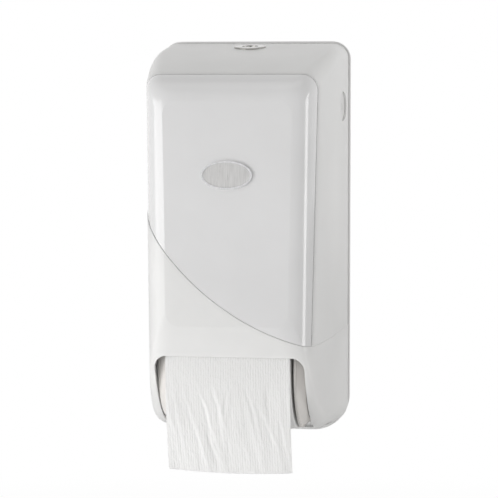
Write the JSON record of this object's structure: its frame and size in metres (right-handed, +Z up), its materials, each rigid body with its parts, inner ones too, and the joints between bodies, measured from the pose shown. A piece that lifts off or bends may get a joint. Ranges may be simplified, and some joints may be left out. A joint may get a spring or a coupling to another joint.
{
  "type": "toilet paper dispenser",
  "caption": "Wall-mounted toilet paper dispenser: hinged locking cover with a glossy front panel over stacked rolls, paper hanging from a notch.",
  "frame": {"origin": "centre of the wall screw pattern, on the wall face of the back plate", "axes": "+X to the right seen from the front, +Y into the wall, +Z up"},
  "size_m": [0.1586, 0.1485, 0.3444],
  "materials": {
    "satin_cover": "satin",
    "gloss_panel": "glossy",
    "white_plastic": "satin",
    "grey_plastic": "satin",
    "plug_plastic": "satin",
    "steel": "zinc plated",
    "lock_chrome": "polished",
    "emblem_chrome": "polished",
    "emblem_brushed": "brushed",
    "paper": "soft tissue",
    "cardboard": "plain"
  },
  "bodies": {
    "wall_unit": {"back_plate": "white_plastic", "hinge_pins": "steel", "left_cheek": "grey_plastic", "right_cheek": "grey_plastic", "cheek_screws": "steel", "brake_spring": "steel", "brake_screw": "steel", "catch_plate": "steel", "catch_screw": "steel", "paper_tail": "paper", "latch_spring": "steel"},
    "lower_roll": {"lower_roll_paper": "paper", "lower_roll_core": "cardboard", "lower_left_cap": "grey_plastic", "lower_right_cap": "grey_plastic"},
    "reserve_caps": {"reserve_left_cap": "grey_plastic", "reserve_right_cap": "grey_plastic"},
    "reserve_roll": {"reserve_roll_paper": "paper", "reserve_roll_core": "cardboard"},
    "release_latch": {"latch_bar": "steel", "latch_left_arm": "grey_plastic", "latch_right_arm": "grey_plastic", "release_lever": "grey_plastic"},
    "cover": {"cover_shell": "satin_cover", "front_panel": "gloss_panel", "emblem_rim": "emblem_chrome", "emblem_plate": "emblem_brushed", "left_side_plug": "plug_plastic", "right_side_plug": "plug_plastic", "lock_bezel": "lock_chrome", "lock_nut": "steel"},
    "lock": {"lock_barrel": "lock_chrome", "lock_cam": "steel", "cam_screw": "steel"}
  },
  "joints": [
    {"name": "cover_hinge", "type": "hinge", "parent": "wall_unit", "child": "cover", "pos_m": [0, -0.024, -0.1435], "axis": [1, 0, 0], "range_deg": [0, 90]},
    {"name": "lock_turn", "type": "hinge", "parent": "cover", "child": "lock", "pos_m": [0, -0.036, 0.15805], "axis": [0, 0.1184, -0.993], "range_deg": [0, 90]},
    {"name": "lower_roll_spin", "type": "hinge", "parent": "wall_unit", "child": "lower_roll", "pos_m": [0, -0.079, -0.093], "axis": [1, 0, 0], "continuous": true},
    {"name": "reserve_lift", "type": "slide", "parent": "wall_unit", "child": "reserve_caps", "axis": [0, 0, 1], "range_m": [0, 0.04]},
    {"name": "reserve_roll_spin", "type": "hinge", "parent": "reserve_caps", "child": "reserve_roll", "pos_m": [0, -0.079, 0.03], "axis": [1, 0, 0], "continuous": true},
    {"name": "latch_tilt", "type": "hinge", "parent": "wall_unit", "child": "release_latch", "pos_m": [0, -0.014, 0.012], "axis": [1, 0, 0], "range_deg": [0, 20], "stiffness_Nm_per_rad": 0.15, "springref_deg": -20.05}
  ]
}
